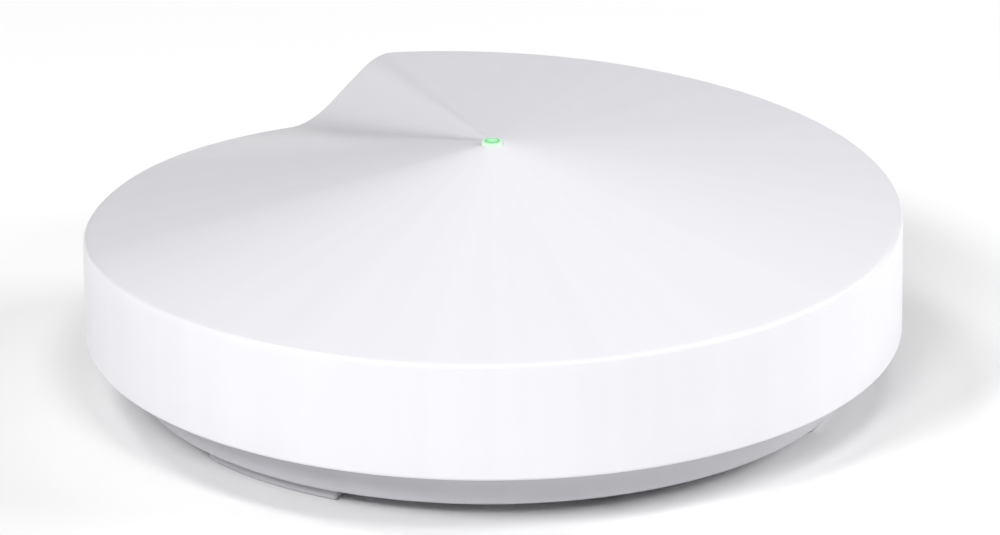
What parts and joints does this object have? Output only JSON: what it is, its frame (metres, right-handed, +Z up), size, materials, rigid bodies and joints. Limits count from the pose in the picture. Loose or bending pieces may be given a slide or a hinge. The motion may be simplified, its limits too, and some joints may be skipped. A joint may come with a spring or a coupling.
{
  "type": "mesh wifi node",
  "caption": "Round tabletop mesh wifi node with a spiral top, an indicator light at its peak, rear network sockets and a power inlet, and a reset button underneath.",
  "frame": {"origin": "on the floor below the middle of the round body, at the level of the feet", "axes": "+Z up; the front faces -Y; the network sockets and power inlet face +Y; +X is to the right seen from the front"},
  "size_m": [0.12, 0.12, 0.038],
  "materials": {
    "cover_plastic": "white moulded ABS, fine satin texture",
    "base_plastic": "light grey moulded ABS, fine matt texture",
    "bezel_plastic": "light grey moulded ABS, matt",
    "button_plastic": "grey moulded plastic",
    "foot_rubber": "grey non-slip rubber, matt",
    "jack_plastic": "black glass-filled nylon",
    "contact_gold": "gold-plated phosphor bronze",
    "inlet_steel": "plated drawn steel sleeve",
    "tongue_plastic": "black liquid-crystal polymer",
    "board_laminate": "green solder mask on glass epoxy",
    "shield_tin": "tinned steel sheet",
    "chip_plastic": "black moulded epoxy",
    "inductor_ferrite": "dark grey pressed ferrite powder",
    "capacitor_can": "plain drawn aluminium can",
    "heatsink_aluminium": "extruded aluminium, natural finish",
    "pin_nylon": "black nylon",
    "pad_silicone": "pale blue silicone gap pad",
    "antenna_copper": "stamped copper alloy sheet",
    "frame_plastic": "dark grey moulded frame",
    "cable_jacket": "black coaxial cable jacket",
    "socket_brass": "gold-plated brass coaxial socket",
    "chip_ceramic": "white fired ceramic",
    "screw_steel": "zinc-plated steel",
    "pipe_acrylic": "clear acrylic, frosted dome lit pale green",
    "led_package": "white package with three diodes",
    "seal_foam": "black foam ring",
    "label_film": "blank light grey film label"
  },
  "bodies": {
    "housing": {"antenna_1": "antenna_copper", "antenna_2": "antenna_copper", "antenna_3": "antenna_copper", "antenna_4": "antenna_copper", "antenna_cable_1": "cable_jacket", "antenna_cable_2": "cable_jacket", "antenna_cable_3": "cable_jacket", "antenna_cable_4": "cable_jacket", "antenna_frame": "frame_plastic", "antenna_socket_1": "socket_brass", "antenna_socket_2": "socket_brass", "antenna_socket_3": "socket_brass", "antenna_socket_4": "socket_brass", "base_shell": "base_plastic", "bluetooth_antenna": "chip_ceramic", "board_screw_1": "screw_steel", "board_screw_2": "screw_steel", "board_screw_3": "screw_steel", "capacitor_1": "capacitor_can", "capacitor_2": "capacitor_can", "case_screw_1": "screw_steel", "case_screw_2": "screw_steel", "case_screw_3": "screw_steel", "crystal": "shield_tin", "flash_chip": "chip_plastic", "foot_1": "foot_rubber", "foot_2": "foot_rubber", "foot_3": "foot_rubber", "heatsink": "heatsink_aluminium", "heatsink_pin_1": "pin_nylon", "heatsink_pin_2": "pin_nylon", "lan_contacts_1": "contact_gold", "lan_contacts_2": "contact_gold", "lan_jack_1": "jack_plastic", "lan_jack_2": "jack_plastic", "lan_transformer_1": "chip_plastic", "lan_transformer_2": "chip_plastic", "light_pipe": "pipe_acrylic", "light_seal": "seal_foam", "main_board": "board_laminate", "memory_chip": "chip_plastic", "port_bezel": "bezel_plastic", "power_inductor": "inductor_ferrite", "processor": "chip_plastic", "radio_chip_1": "chip_plastic", "radio_chip_2": "chip_plastic", "rating_label": "label_film", "reset_switch": "shield_tin", "shield_can_1": "shield_tin", "shield_can_2": "shield_tin", "status_led": "led_package", "switch_chip": "chip_plastic", "thermal_pad_1": "pad_silicone", "thermal_pad_2": "pad_silicone", "top_cover": "cover_plastic", "usb_c_receptacle": "inlet_steel", "usb_c_tongue": "tongue_plastic"},
    "reset_button": {"reset_button": "button_plastic"},
    "reset_stem": {"reset_switch_stem": "pin_nylon"}
  },
  "joints": [
    {"name": "reset_button_press", "type": "slide", "parent": "housing", "child": "reset_button", "axis": [0, 0, 1], "range_m": [0, 0.0003], "stiffness_N_per_m": 4000},
    {"name": "reset_stem_press", "type": "slide", "parent": "housing", "child": "reset_stem", "axis": [0, 0, 1], "range_m": [0, 0.0003]}
  ],
  "couplings": [
    {"joint": "reset_stem_press", "follows": "reset_button_press", "ratio": 1}
  ]
}
